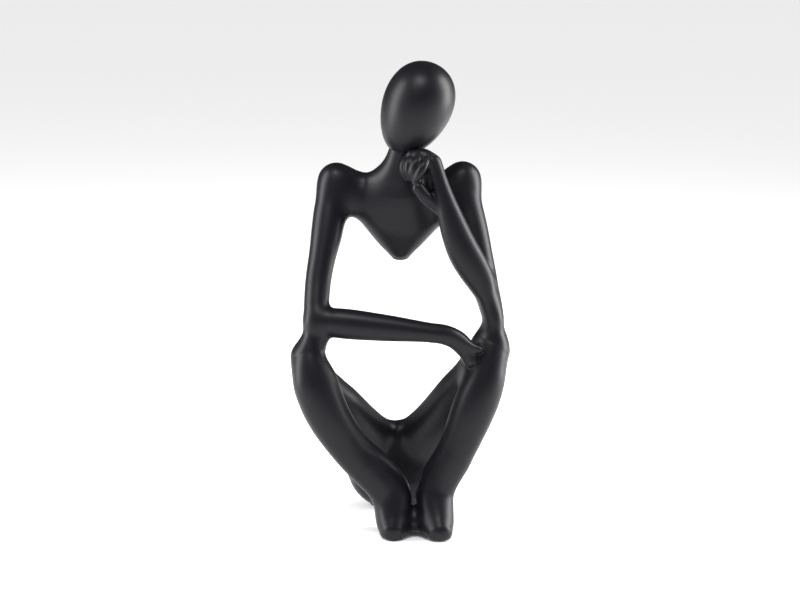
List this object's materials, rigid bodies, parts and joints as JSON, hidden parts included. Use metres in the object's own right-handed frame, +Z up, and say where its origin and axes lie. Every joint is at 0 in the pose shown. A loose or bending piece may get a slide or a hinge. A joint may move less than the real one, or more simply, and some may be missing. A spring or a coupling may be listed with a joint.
{
  "type": "thinker statue",
  "caption": "Seated abstract figure with a smooth egg head, chin on its left fist and right forearm laid across its raised knees, in satin black, standing on felt pads.",
  "frame": {"origin": "on the shelf, under the middle of the figure's bounding box", "axes": "+Z up; the figure faces -Y, so its own left side is +X"},
  "size_m": [0.1212, 0.1074, 0.2613],
  "materials": {
    "satin_black": "satin black paint over cast resin",
    "steel": "plain drawn bar",
    "felt": "black felt"
  },
  "bodies": {
    "root": {"head": "satin_black", "torso": "satin_black", "right_forearm": "satin_black", "left_forearm": "satin_black", "pelvis": "satin_black", "right_leg": "satin_black", "left_leg": "satin_black", "neck_pin": "steel", "fist_pin": "steel", "right_elbow_pin": "steel", "left_elbow_pin": "steel", "right_knee_pin": "steel", "left_knee_pin": "steel", "hand_pin": "steel", "right_hip_pin": "steel", "left_hip_pin": "steel", "foot_pin": "steel", "seat_pad": "felt", "right_foot_pad": "felt", "left_foot_pad": "felt"}
  },
  "joints": []
}
